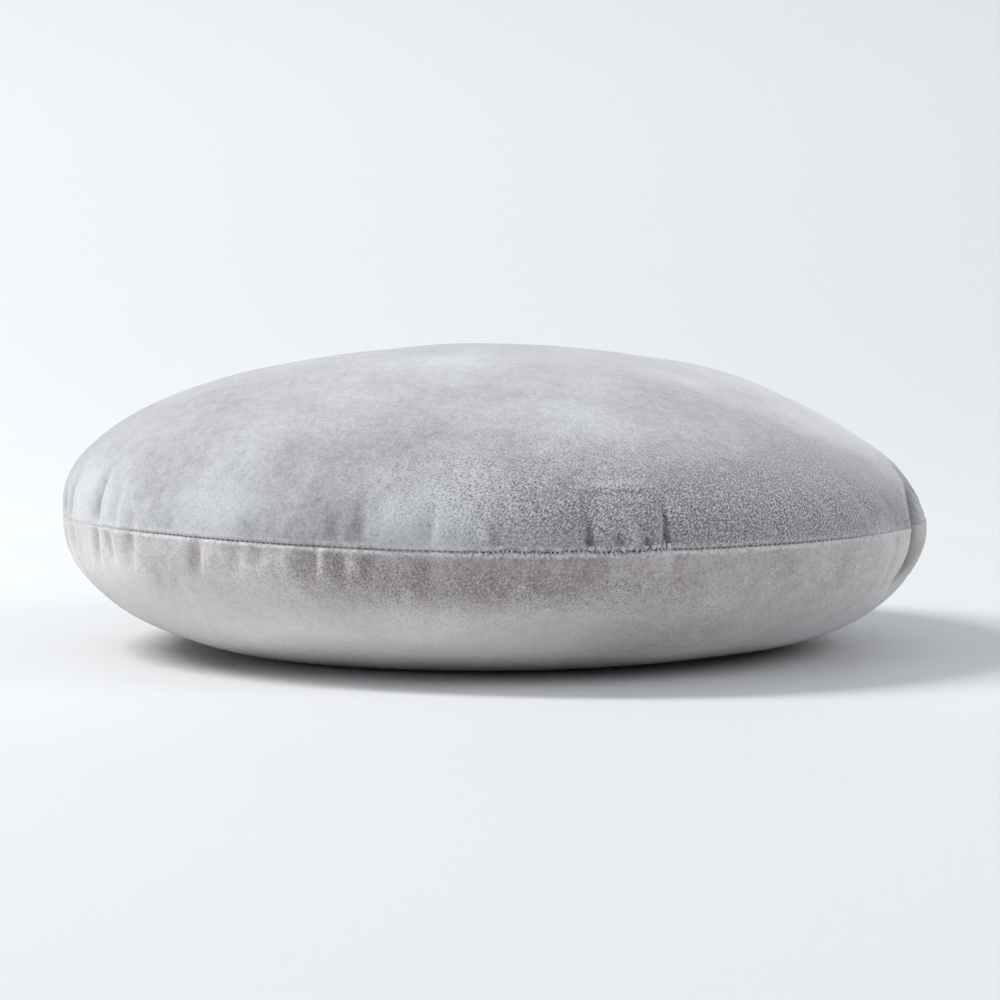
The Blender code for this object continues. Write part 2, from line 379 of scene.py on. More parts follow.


# where the velvet is lighter or darker, partly the pile's own brushed tone and partly painted
# shade and painted sheen: direction and distance from the seam of each patch's middle, its half
# width round the rim and half height, and how much lighter it is
Patch = namedtuple("Patch", "direction fromSeam width height lighter")
patches = [
    Patch(302.0, 0.012, 0.055, 0.024, -1.20),
    Patch(320.0, 0.026, 0.050, 0.030, -1.10),
    Patch(312.0, 0.085, 0.050, 0.030, -0.35),
    Patch(332.0, 0.028, 0.030, 0.022, -0.80),
    Patch(283.0, 0.078, 0.030, 0.026, 0.35),
    Patch(214.0, 0.010, 0.018, 0.016, 0.70),
    Patch(326.0, 0.006, 0.016, 0.010, 0.60),
    Patch(278.0, 0.014, 0.030, 0.016, -0.25),
    Patch(262.0, 0.014, 0.024, 0.018, 0.90),
    Patch(247.0, 0.010, 0.016, 0.014, -0.10),
    Patch(234.0, 0.014, 0.026, 0.016, 0.65),
    Patch(278.0, 0.120, 0.060, 0.040, -0.30),
    Patch(204.0, 0.014, 0.026, 0.018, 0.85),
    Patch(256.0, 0.150, 0.070, 0.032, 0.55),
    Patch(225.0, 0.034, 0.030, 0.020, -0.20),
    Patch(270.0, -0.014, 0.056, 0.011, -0.55),
    Patch(251.0, -0.012, 0.016, 0.012, -0.25),
    Patch(213.0, -0.014, 0.016, 0.012, 0.45),
    Patch(238.0, -0.010, 0.012, 0.010, 0.40),
    Patch(244.0, -0.020, 0.034, 0.014, 0.45),
    Patch(272.0, -0.031, 0.060, 0.010, 0.50),
    Patch(244.0, -0.054, 0.055, 0.018, 1.60),
    Patch(268.0, -0.054, 0.056, 0.018, 1.50),
    Patch(222.0, -0.040, 0.050, 0.022, 0.70),
    Patch(208.0, -0.024, 0.024, 0.020, 0.60),
    Patch(300.0, -0.028, 0.040, 0.010, 0.20),
    Patch(336.0, -0.016, 0.026, 0.026, 0.80),
]
# where the pile is worn down to its twill
wornPatches = [
    Patch(300.0, 0.014, 0.055, 0.020, 0.46),
    Patch(318.0, 0.024, 0.050, 0.028, 0.34),
    Patch(275.0, 0.020, 0.060, 0.026, 0.38),
    Patch(285.0, 0.050, 0.090, 0.030, 0.20),
    Patch(250.0, -0.012, 0.060, 0.014, 0.24),
    Patch(278.0, -0.018, 0.070, 0.016, 0.20),
    Patch(300.0, -0.030, 0.100, 0.030, 0.10),
    Patch(326.0, 0.030, 0.040, 0.036, 0.16),
    Patch(322.0, -0.016, 0.040, 0.030, 0.10),
]


def patchSum(patches, directions, fromSeam, rim):
    total = np.zeros(fromSeam.shape)
    for p in patches:
        sideways = np.radians(turned(directions, p.direction)) * rim / p.width
        across = (fromSeam - p.fromSeam) / p.height
        total += p.lighter * np.exp(-(sideways**2) - across**2) * ((fromSeam >= 0) == (p.fromSeam >= 0))
    return total


# the hand-closed stretch, whose seam line wanders between its stitches
closing = {
    "from": 268.0,
    "to": 291.0,
    "wander": 0.00045,
    "wanderElsewhere": 0.00010,
    "wanderReach": 0.004,
    "wanderStep": 0.0024,
    "nubStep": 0.0015,
    "lowerGather": 1.3,
    "upperGather": 1.8,
    "endSoftness": 0.6,
    "knotsTo": 1.30,  # past the rim's whole length
}


def insideClosing(directions):
    # 1 along the hand-closed stretch, with soft ends, and 0 elsewhere
    pastStart = softStep(turned(directions, closing["from"]), closing["endSoftness"])
    return pastStart * softStep(-turned(directions, closing["to"]), closing["endSoftness"])


def unevenRun(directions, rim, step, draw):
    # a random value at every step along the rim, and straight lines between them
    knots = np.arange(0, closing["knotsTo"], step)
    return np.interp(np.radians(directions) * rim[0], knots, draw.uniform(-1, 1, len(knots)))


def seamWander(directions, along, rim, draw):
    # up and down shift of the seam line, uneven from stitch to stitch
    shift = unevenRun(directions, rim, closing["wanderStep"], draw)
    inside = insideClosing(directions)
    shift *= closing["wanderElsewhere"] + (closing["wander"] - closing["wanderElsewhere"]) * inside
    return shift * bell(along, closing["wanderReach"])


def gatheredLips(lip, upperLip, directions, rim, draw):
    # at the closing the lips are gathered into a nub by each stitch
    lower = unevenRun(directions, rim, closing["nubStep"], draw)
    upper = unevenRun(directions, rim, closing["nubStep"], draw)
    inside = insideClosing(directions)
    lip = lip * (1 + closing["lowerGather"] * inside * (0.4 + lower))
    return lip, upperLip * (1 + closing["upperGather"] * inside * upper)


def fillingLumps(points, draw):
    # soft uneven filling: a sum of long waves in a few directions
    height = np.zeros(points.shape[:2])
    shortest, longest = cushion["lumpLengths"]
    for wave in range(cushion["lumpWaves"]):
        length = shortest + (longest - shortest) * draw.random()
        direction = draw.normal(size=3)
        direction /= np.linalg.norm(direction)
        height += np.sin(points @ direction * 2 * math.pi / length + draw.uniform(0, 2 * math.pi))
    return height / math.sqrt(cushion["lumpWaves"] / 2) * cushion["lumpDepth"] / 2


# the rim's unseen part is drawn in as the rest, uneven but the same each run: least and most of
# the steps between two puckers, in degrees, and of their measures
backSeam = {
    "from": 6.0,
    "to": 193,
    "steps": (3.2, 9.0),
    "depths": (0.0006, 0.0019),
    "widths": (0.0036, 0.0065),
    "reaches": (0.014, 0.034),
    "leans": (-0.5, 0.5),
}


def backPuckers(draw):
    puckers = []
    direction = backSeam["from"]
    while direction < backSeam["to"]:
        depth = draw.uniform(*backSeam["depths"])
        width = draw.uniform(*backSeam["widths"])
        reach = draw.uniform(*backSeam["reaches"])
        lean = draw.uniform(*backSeam["leans"])
        puckers.append(Pucker(direction, reach * 0.3, reach, depth, width, width * 0.8, lean))
        direction += draw.uniform(*backSeam["steps"])
    return puckers


cutRadius = 0.24  # of each panel in the flat cut
secondPanel = 0.6  # how far below the upper panel the lower one lies there


def gridPoints(grid):
    # list of a grid whose first and last rows are single points
    return np.vstack([grid[:1, 0], grid[1:-1].reshape(-1, grid.shape[2]), grid[-1:, 0]])


def addValues(mesh, name, values):
    attribute = mesh.attributes.new(name, "FLOAT", "POINT")
    attribute.data.foreach_set("value", gridPoints(values[:, :, None])[:, 0].astype(np.float32))


def gridMesh(name, points, fromSeam, directions):
    # closed mesh of a grid
    rows, columns = points.shape[:2]
    places = gridPoints(points)
    last = len(places) - 1
    number = 1 + np.arange((rows - 2) * columns).reshape(rows - 2, columns)
    beside = np.roll(number, -1, 1)
    quads = np.stack([number[:-1], number[1:], beside[1:], beside[:-1]], 2).reshape(-1, 4)
    crown = np.stack([np.zeros(columns, int), number[0], beside[0]], 1)
    foot = np.stack([np.full(columns, last), beside[-1], number[-1]], 1)
    mesh = bpy.data.meshes.new(name)
    mesh.from_pydata(places, [], crown.tolist() + quads.tolist() + foot.tolist())
    # the two panels' flat cuts, in metres, for the weave
    spread = cutRadius - np.abs(fromSeam)
    angle = np.radians(directions)[None, :]
    cut = gridPoints(np.stack([spread * np.cos(angle), spread * np.sin(angle)], 2))
    corners = np.zeros(len(mesh.loops), int)
    mesh.loops.foreach_get("vertex_index", corners)
    cut = cut[corners]
    lowerCorners = np.arange(rows - 3) >= rows // 2 - 1
    cut[3 * columns : -3 * columns, 1] -= secondPanel * np.repeat(lowerCorners, 4 * columns)
    cut[-3 * columns :, 1] -= secondPanel
    layer = mesh.uv_layers.new(name="cut")
    layer.data.foreach_set("uv", cut.astype(np.float32).ravel())
    mesh.shade_smooth()
    mesh.validate()
    return mesh


# loose cloth round the rim, which is gathered into the seam: its wrinkles are simulated
sewing = {
    "spokes": 264,
    "rings": 24,
    "ringGrowth": 1.06,
    "ease": 0.10,  # share by which the cut is longer than the seam that holds it
    "easeWidth": 0.020,
    "heldFrom": 0.080,  # past this far from the seam the full cloth is tight
    "pressure": 40,
    "frames": 20,
    "flaw": 0.00006,  # unevenness that the wrinkles start from
    "shareInFront": 0.45,  # the front's own puckers are listed above
    "limit": 0.0016,
    "levelling": 14,  # degrees over which the form itself is taken off the wrinkles
}


def simulatedWrinkles():
    # sews an over-long cloth to its seam, fills it, and returns how far each point moved outwards
    draw = np.random.default_rng(cushion["seed"])
    directions = evenDirections(sewing["spokes"])
    points, fromSeam = smoothForm(directions, ringShares(sewing["rings"], sewing["ringGrowth"]))
    outward = facing(points)
    along = np.abs(fromSeam)
    uneven = draw.normal(0, sewing["flaw"], along.shape)
    uneven[[0, -1]] = 0
    start = points + outward * uneven[:, :, None]
    cut = points.copy()
    cut[:, :, :2] *= 1 + sewing["ease"] * bell(along, sewing["easeWidth"])[:, :, None]
    mesh = gridMesh("sewnCloth", start, fromSeam, directions)
    cloth = addObject("sewnCloth", mesh)
    cloth.shape_key_add(name="Basis")
    cutKey = cloth.shape_key_add(name="cut")
    cutKey.data.foreach_set("co", gridPoints(cut).astype(np.float32).ravel())
    far = gridPoints(along[:, :, None])[:, 0]
    held = cloth.vertex_groups.new(name="held")
    held.add(np.where((far < 1e-6) | (far > sewing["heldFrom"]))[0].tolist(), 1, "REPLACE")
    modifier = cloth.modifiers.new("cloth", "CLOTH")
    modifier.point_cache.frame_start = 1
    modifier.point_cache.frame_end = sewing["frames"]
    modifier.collision_settings.use_collision = False
    modifier.collision_settings.use_self_collision = False
    cloths = modifier.settings
    cloths.vertex_group_mass = "held"
    cloths.rest_shape_key = cutKey
    cloths.quality = 6
    cloths.mass = 0.01
    cloths.tension_stiffness = cloths.compression_stiffness = 20
    cloths.shear_stiffness = 8
    cloths.bending_stiffness = 0.05
    cloths.tension_damping = cloths.compression_damping = 0.5
    cloths.shear_damping = 0.3
    cloths.bending_damping = 0.05
    cloths.air_damping = 2
    cloths.use_pressure = True
    cloths.uniform_pressure_force = sewing["pressure"]
    cloths.effector_weights.gravity = 0
    for step in range(1, sewing["frames"] + 1):
        bpy.context.scene.frame_set(step)
    sewn = cloth.evaluated_get(bpy.context.evaluated_depsgraph_get()).data
    places = np.zeros(len(mesh.vertices) * 3, np.float32)
    sewn.vertices.foreach_get("co", places)
    places = places.reshape(-1, 3)[1:-1].reshape(len(points) - 2, len(directions), 3)
    moved = np.zeros(along.shape)
    moved[1:-1] = np.einsum("ijk,ijk->ij", places - points[1:-1], outward[1:-1])
    bpy.context.scene.frame_set(1)
    bpy.data.objects.remove(cloth)
    bpy.data.meshes.remove(mesh)
    moved = np.where((along < sewing["heldFrom"]) & (along > 1e-6), moved, 0)
    half = round(sewing["levelling"] * sewing["spokes"] / 720)
    levelled = moved - sum(np.roll(moved, step, 1) for step in range(-half, half + 1)) / (2 * half + 1)
    return fromSeam, levelled


def wrinkleHeight(directions, fromSeam):
    # the simulated wrinkles at the finer grid's points
    clothFromSeam, levelled = simulatedWrinkles()
    rows = np.arange(len(levelled))
    place = directions / 360 * sewing["spokes"]
    first = np.floor(place).astype(int)
    part = place - first
    columns = [(first + step) % sewing["spokes"] for step in (-1, 0, 1, 2)]
    weights = (
        0.5 * (-part + 2 * part**2 - part**3),
        0.5 * (2 - 5 * part**2 + 3 * part**3),
        0.5 * (part + 4 * part**2 - 3 * part**3),
        0.5 * (part**3 - part**2),
    )
    sides = sum(levelled[:, column] * weight for column, weight in zip(columns, weights))
    height = np.zeros(fromSeam.shape)
    for column in range(fromSeam.shape[1]):
        known = clothFromSeam[:, first[column] % sewing["spokes"]]
        height[:, column] = smoothBetween(fromSeam[:, column], known[::-1], sides[::-1, column])
    behind = np.clip(0.5 + 1.6 * np.sin(np.radians(directions)), 0, 1)
    height *= sewing["shareInFront"] + (1 - sewing["shareInFront"]) * behind
    print("cloth simulated, wrinkles up to", round(np.abs(height).max() * 1000, 2), "mm")
    return sewing["limit"] * np.tanh(height / sewing["limit"])


def smoothBetween(wanted, known, values):
    # curve through uneven known places, level at its own small peaks
    slopes = np.gradient(values, known)
    after = np.clip(np.searchsorted(known, wanted), 1, len(known) - 1)
    before = after - 1
    step = known[after] - known[before]
    part = np.clip((wanted - known[before]) / step, 0, 1)
    return (
        (1 + 2 * part) * (1 - part) ** 2 * values[before]
        + part * (1 - part) ** 2 * step * slopes[before]
        + part**2 * (3 - 2 * part) * values[after]
        + part**2 * (part - 1) * step * slopes[after]
    )


# painted shade and highlight that follow the relief
shading = {
    "imprintEdgeLightAndShade": 0.75,
    "foldShade": 0.22,
    "deepFrom": 0.0018,  # past this depth a fold gets painted shade
    "deepOver": 0.0040,
    "pinchShade": 0.9,
    "groundShadeTo": 0.012,  # height to which the underside gets painted shade
}


def cushionGrid():
    draw = np.random.default_rng(cushion["seed"])
    directions = crowdedDirections(cushion["spokes"])
    shares = ringShares(cushion["rings"], cushion["ringGrowth"])
    points, fromSeam = smoothForm(directions, shares)
    outward = facing(points)
    level = np.stack([np.cos(np.radians(directions)), np.sin(np.radians(directions)), 0 * directions], 1)
    level = np.broadcast_to(level, points.shape)
    rim = around("rimRadius", directions)[None, :]
    along = np.abs(fromSeam)
    slack = sum(bell(turned(directions, end), cushion["slackWidth"]) for end in cushion["slackAt"])
    tight = 1 - (1 - cushion["slackShare"]) * slack
    depth = cushion["seamDepth"] * tight * np.exp(-((along / cushion["seamWidth"]) ** 1.5))
    depth += cushion["dipDepth"] * bell(along, cushion["dipWidth"])
    lip = bell(fromSeam - cushion["lipAt"], cushion["lipWidth"])
    upperLip = bell(fromSeam + cushion["lipAt"], cushion["lipWidth"])
    lip, upperLip = gatheredLips(lip, upperLip, directions, rim, draw)
    depth -= cushion["lipHeight"] * lip + cushion["upperLipHeight"] * upperLip
    above = puckerDepth(puckersAbove + backPuckers(draw), directions, along, rim)
    below = puckerDepth(puckersBelow + backPuckers(draw), directions, along, rim)
    above = above * cushion["puckerStrength"] + puckerDepth(pinchAbove, directions, along, rim)
    below = below * cushion["puckerStrength"] + puckerDepth(pinchBelow, directions, along, rim)
    pinchAboveDepth, shadeAbove = pinchDepth(directions, along, rim, 1)
    pinchBelowDepth, shadeBelow = pinchDepth(directions, along, rim, -1)
    above += pinchAboveDepth
    below += pinchBelowDepth
    atSeam = (above + below) / 2
    nearSeam = bell(along, cushion["seamBlend"])
    folds = np.where(fromSeam >= 0, above, below) * (1 - nearSeam) + atSeam * nearSeam
    pressed, edgeLightAndShade = imprintHeight(directions, fromSeam, rim)
    depth += folds - pressed - wrinkleHeight(directions, fromSeam)
    clear = np.clip(points[:, :, 2] / 0.02, 0, 1)
    square = np.clip(along / cushion["squareFrom"], 0, 1)
    depth += fillingLumps(points, draw) * square * clear
    square = square[:, :, None]
    away = level * (1 - square) + outward * square
    away /= np.maximum(np.linalg.norm(away, axis=2, keepdims=True), 1e-9)
    points = points - away * depth[:, :, None]
    points[:, :, 2] += seamWander(directions, along, rim, draw)
    points[:, :, 2] = np.clip(points[:, :, 2], 0, None)
    points[0] = points[0].mean(0)
    points[-1] = points[-1].mean(0)
    # lighter: the patches, partly pile tone and partly painted shade and painted sheen
    lighter = patchSum(patches, directions, fromSeam, rim)
    # painted highlight and shade along the imprint's edges
    lighter += shading["imprintEdgeLightAndShade"] * edgeLightAndShade
    # painted shade in folds, painted highlight on ridges
    lighter -= shading["foldShade"] * np.clip(folds / 0.001, -1.5, 2)
    # painted shade deep in folds, in the pinch and on the underside near the table
    deep = np.clip((folds - shading["deepFrom"]) / shading["deepOver"], 0, 1)
    deep = np.maximum(deep, np.where(fromSeam >= 0, shadeAbove, shadeBelow) * shading["pinchShade"])
    deep = np.maximum(deep, (fromSeam < 0) * np.clip(1 - points[:, :, 2] / shading["groundShadeTo"], 0, 1))
    # painted highlight on the lips of the seam
    gathered = np.clip(lip + 0.5 * upperLip, 0, 1) * tight
    return directions, points, {
        "fromSeam": fromSeam,
        "lighter": lighter,
        "worn": patchSum(wornPatches, directions, fromSeam, rim),
        "deep": deep,
        "gathered": gathered,
        "tight": np.broadcast_to(tight, fromSeam.shape),
    }


# shader helpers

class Wire:
    # one socket of a material, which can be added to, scaled and so on
    def __init__(self, paint, socket):
        self.paint = paint
        self.socket = socket

    def __add__(self, other):
        return self.paint.maths("ADD", self, other)

    def __radd__(self, other):
        return self.paint.maths("ADD", other, self)

    def __sub__(self, other):
        return self.paint.maths("SUBTRACT", self, other)

    def __rsub__(self, other):
        return self.paint.maths("SUBTRACT", other, self)

    def __mul__(self, other):
        return self.paint.maths("MULTIPLY", self, other)

    def __rmul__(self, other):
        return self.paint.maths("MULTIPLY", other, self)


class Paint:
    # a material and the nodes that make it
    def __init__(self, name):
        self.material = bpy.data.materials.new(name)
        self.material.use_nodes = True
        self.tree = self.material.node_tree
        self.tree.nodes.clear()

    def node(self, kind, settings=None, sockets=None, out=0):
        made = self.tree.nodes.new(kind)
        for key, value in (settings or {}).items():
            setattr(made, key, value)
        for key, value in (sockets or {}).items():
            if isinstance(value, Wire):
                self.tree.links.new(value.socket, made.inputs[key])
            else:
                made.inputs[key].default_value = value
        return Wire(self, made.outputs[out]) if len(made.outputs) else made

    def maths(self, operation, first, second=0.0):
        return self.node("ShaderNodeMath", {"operation": operation}, {0: first, 1: second})

    def mix(self, share, first, second):
        # each side is a wire or a plain colour
        sides = [side if isinstance(side, Wire) else (*side, 1) for side in (first, second)]
        return self.node(
            "ShaderNodeMix", {"data_type": "RGBA"}, {"Factor": share, 6: sides[0], 7: sides[1]}, out=2
        )

    def noise(self, where, scale, detail=2.0, roughness=0.5):
        sockets = {"Vector": where, "Scale": scale, "Detail": detail, "Roughness": roughness}
        return self.node("ShaderNodeTexNoise", None, sockets)

    def attribute(self, name):
        return self.node("ShaderNodeAttribute", {"attribute_name": name}, out="Fac")

    def bump(self, height, depth):
        sockets = {"Strength": 0.9, "Distance": depth, "Height": height}
        return self.node("ShaderNodeBump", None, sockets, out="Normal")

    def ramp(self, value, start, end):
        # smoothly from 0 at the start to 1 at the end
        sockets = {"Value": value, "From Min": start, "From Max": end}
        return self.node("ShaderNodeMapRange", {"interpolation_type": "SMOOTHSTEP"}, sockets)

    def surface(self, colour, roughness, specular, more=None):
        sockets = {"Base Color": colour, "Roughness": roughness, "Specular IOR Level": specular}
        return self.node("ShaderNodeBsdfPrincipled", None, {**sockets, **(more or {})})

    def finish(self, shader):
        self.node("ShaderNodeOutputMaterial", None, {"Surface": shader})
        return self.material


velvet = {
    "light": (0.488, 0.504, 0.521),
    "dark": (0.240, 0.216, 0.233),
    "sheenPale": (0.660, 0.665, 0.675),
    "lowerLight": (0.556, 0.528, 0.525),
    "lowerDark": (0.280, 0.241, 0.237),
    "lowerSheenPale": (0.749, 0.698, 0.683),
    "grainDark": (0.134, 0.119, 0.131),
    "grainLight": (0.566, 0.552, 0.578),
    "creaseShade": 0.80,
    "creaseFrom": 0.00012,
    "creaseTo": 0.00055,
    "seamShade": (0.075, 0.068, 0.072),
    "deepDark": (0.105, 0.092, 0.096),
    "lipHighlightColour": (0.640, 0.635, 0.665),
    "wideScale": 11,
    "smallerScale": 46,
    "speckScale": 240,
    "fleckScale": 620,
    "nap": 0.55,  # between dark and light where no patch lies
    "wideNap": 0.85,
    "smallerNap": 0.75,
    "fleckNap": 0.6,
    "wornAll": 0.17,
    "wornUneven": 1.2,
    "grainPile": 1.8,
    "twillPile": 4.2,
    "grainSize": 0.0007,
    "strokeSize": 0.00052,
    "strokeAngle": -40,
    "rim": 0.2,
    "bumpDepth": 0.0007,
}


def velvetMaterial():
    paint = Paint("silverVelvet")
    place = paint.node("ShaderNodeTexCoord", out="Object")
    cut = paint.node("ShaderNodeUVMap", {"uv_map": "cut"})
    away = paint.attribute("fromSeam")
    # brushed pile: wide soft patches, smaller ones inside them, and a fine grain
    combed = paint.node("ShaderNodeMapping", None, {"Vector": place, "Scale": (1, 0.6, 1)})
    wide = paint.noise(place, velvet["wideScale"], 3, 0.55)
    smaller = paint.noise(place, velvet["smallerScale"], 2, 0.5)
    specks = paint.noise(combed, velvet["speckScale"], 2, 0.6)
    flecks = paint.noise(combed, velvet["fleckScale"], 2, 0.6)
    grain = paint.noise(combed, 1 / velvet["grainSize"], 2, 0.7)
    # the twill of the backing, which shows where the pile is worn, along the seam and up from it
    acrossCut = paint.node("ShaderNodeSeparateXYZ", None, {"Vector": cut}, out="X")
    under = paint.maths("LESS_THAN", away, 0.0)
    downCut = paint.node("ShaderNodeSeparateXYZ", None, {"Vector": cut}, out="Y") + under * secondPanel
    roundRim = paint.maths("ARCTAN2", downCut, acrossCut)
    laid = paint.node("ShaderNodeCombineXYZ", None, {"X": roundRim * velvet["rim"], "Y": away})
    slant = (0, 0, math.radians(velvet["strokeAngle"]))
    askew = paint.node("ShaderNodeMapping", None, {"Vector": laid, "Rotation": slant})
    strokes = paint.node("ShaderNodeMapping", None, {"Vector": askew, "Scale": (0.34, 1, 1)})
    twill = paint.noise(strokes, 1 / velvet["strokeSize"], 2, 0.5)
    # lighter: the patches, partly pile tone and partly painted shade and sheen, with the painted shade and
    # highlight of the folds and of the imprint's edges
    lighter = paint.attribute("lighter")
    worn = paint.attribute("worn")
    worn = worn * (1.0 + (smaller - 0.5) * velvet["wornUneven"]) + velvet["wornAll"]
    nap = velvet["nap"] + (wide - 0.5) * velvet["wideNap"] + (smaller - 0.5) * velvet["smallerNap"]
    nap = nap + (flecks - 0.5) * velvet["fleckNap"] + lighter
    nap = nap + (specks - 0.5) * (worn * 1.5 + 0.5)
    # the lower panel is lighter and warmer, partly the pile's own tone and partly painted light
    dark = paint.mix(under, velvet["dark"], velvet["lowerDark"])
    light = paint.mix(under, velvet["light"], velvet["lowerLight"])
    sheenPale = paint.mix(under, velvet["sheenPale"], velvet["lowerSheenPale"])
    colour = paint.mix(nap, dark, light)
    # past full light the colour turns pale: painted sheen where the patches are lightest
    colour = paint.mix(paint.maths("MAXIMUM", nap - 1.0, 0.0), colour, sheenPale)
    pile = velvet["grainPile"] * (grain - 0.5) + (twill - 0.5) * (worn * velvet["twillPile"])
    colour = paint.mix(paint.maths("MAXIMUM", 0.0 - pile, 0.0) * worn * 4, colour, velvet["grainDark"])
    colour = paint.mix(paint.maths("MAXIMUM", pile, 0.0) * worn * 4, colour, velvet["grainLight"])
    # painted highlight on the lips of the seam, where the pile stands out and catches the light
    gathered = paint.attribute("gathered")
    lipHighlightShare = gathered * (0.55 + (flecks - 0.5) * 3.0)
    colour = paint.mix(paint.maths("MAXIMUM", lipHighlightShare, 0.0), colour, velvet["lipHighlightColour"])
    # painted shade deep in folds, in the pinch and on the underside near the table
    deep = paint.attribute("deep")
    colour = paint.mix(deep * 0.85, colour, velvet["deepDark"])
    # painted shade in the seam's groove, a dark line broken where pile bridges it between the stitches
    tight = paint.attribute("tight")
    bridged = paint.maths("SINE", roundRim * cushion["stitches"] + (specks - 0.5) * 6) * 0.5 + 0.62
    bridged = bridged + (smaller - 0.5) * 0.8 + (tight - 1.0) * 0.9
    bridged = paint.maths("MINIMUM", paint.maths("MAXIMUM", bridged * 1.6 - 0.3, 0.12), 1.0)
    crease = 1.0 - paint.ramp(paint.maths("ABSOLUTE", away), velvet["creaseFrom"], velvet["creaseTo"])
    colour = paint.mix(crease * bridged * velvet["creaseShade"], colour, velvet["seamShade"])
    relief = grain * 0.6 + flecks * 0.5 + specks * 0.5 + (twill - 0.5) * worn * 0.5
    sheen = {
        "Sheen Weight": 0.85,
        "Sheen Roughness": 0.45,
        "Sheen Tint": (0.97, 0.985, 1.0, 1.0),
        "Normal": paint.bump(relief, velvet["bumpDepth"]),
    }
    shader = paint.surface(colour, 0.95, 0.1, sheen)
    # where shade is painted, deep in folds, in the pinch, on the underside and in the seam's line, the
    # surface has no sheen
    sheenlessShade = paint.surface(colour, 1.0, 0.05)
    hidden = paint.maths("MAXIMUM", deep, crease * bridged)
    return paint.finish(paint.node("ShaderNodeMixShader", None, {"Fac": hidden, 1: shader, 2: sheenlessShade}))


directions, cushionPoints, cushionValues = cushionGrid()
cushionMesh = gridMesh("velvetCushion", cushionPoints, cushionValues["fromSeam"], directions)
for valueName, values in cushionValues.items():
    addValues(cushionMesh, valueName, values)
cushionPiece = addObject("velvetCushion", cushionMesh)
cushionMesh.materials.append(velvetMaterial())
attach(cushionPiece, "root")
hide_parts("cushion")
print("cushion made,", len(cushionMesh.polygons), "faces")


# stitches

class NodeTree:
    # a geometry node tree with named inputs
    def __init__(self, name, inputs):
        self.tree = bpy.data.node_groups.new(name, "GeometryNodeTree")
        self.tree.interface.new_socket("Geometry", in_out="OUTPUT", socket_type="NodeSocketGeometry")
        self.tree.interface.new_socket("Geometry", in_out="INPUT", socket_type="NodeSocketGeometry")
        for key, kind in inputs.items():
            self.tree.interface.new_socket(key, in_out="INPUT", socket_type=f"NodeSocket{kind}")
        self.inputs = self.tree.nodes.new("NodeGroupInput").outputs

    def node(self, kind, settings=None, sockets=None, out=0):
        made = self.tree.nodes.new(kind)
        for key, value in (settings or {}).items():
            setattr(made, key, value)
        for key, value in (sockets or {}).items():
            if isinstance(value, bpy.types.NodeSocket):
                self.tree.links.new(value, made.inputs[key])
            else:
                made.inputs[key].default_value = value
        return made.outputs[out]

    def maths(self, operation, first, second):
        return self.node("ShaderNodeMath", {"operation": operation}, {0: first, 1: second})

    def negative(self, value):
        return self.maths("MULTIPLY", value, -1.0)

    def vector(self, **parts):
        return self.node("ShaderNodeCombineXYZ", None, parts)

    def eitherWay(self, most, seed):
        # random between minus and plus the most
        sockets = {2: self.negative(most), 3: most, "Seed": seed}
        return self.node("FunctionNodeRandomValue", {"data_type": "FLOAT"}, sockets, out=1)

    def finish(self, geometry):
        end = self.tree.nodes.new("NodeGroupOutput")
        self.tree.links.new(geometry, end.inputs[0])
        return self.tree


